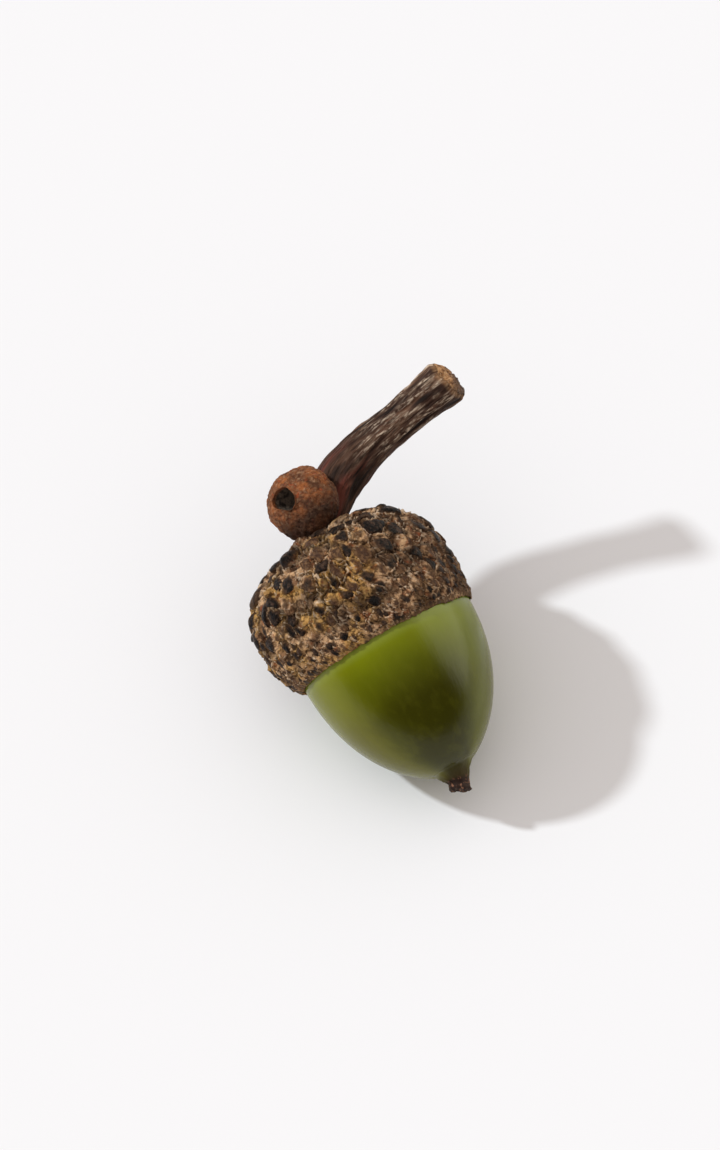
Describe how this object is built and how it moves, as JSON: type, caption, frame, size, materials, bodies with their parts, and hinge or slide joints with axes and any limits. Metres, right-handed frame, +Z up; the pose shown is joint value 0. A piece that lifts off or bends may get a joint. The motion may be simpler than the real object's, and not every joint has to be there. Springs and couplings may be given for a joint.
{
  "type": "acorn",
  "caption": "Green acorn lying on its side in its scaly cup, with a bent woody stalk that also bears a small undeveloped cup.",
  "frame": {"origin": "centre of the bounding box, on the plane that the acorn lies on", "axes": "+X from the cup's base towards the nut's point, along the ground; +Y to the side that the stalk leans to; +Z up"},
  "size_m": [0.0324, 0.0284, 0.0216],
  "materials": {
    "nut_shell": "smooth waxy green shell, brown at the point",
    "cup_scales": "matte woolly ground with dark knobbly scales",
    "stalk_bark": "ridged dry bark with a grey sheen",
    "small_cup_scales": "fine matte scales pressed flat"
  },
  "bodies": {
    "root": {"nut": "nut_shell", "cup": "cup_scales", "stalk": "stalk_bark", "small_cup": "small_cup_scales"}
  },
  "joints": []
}
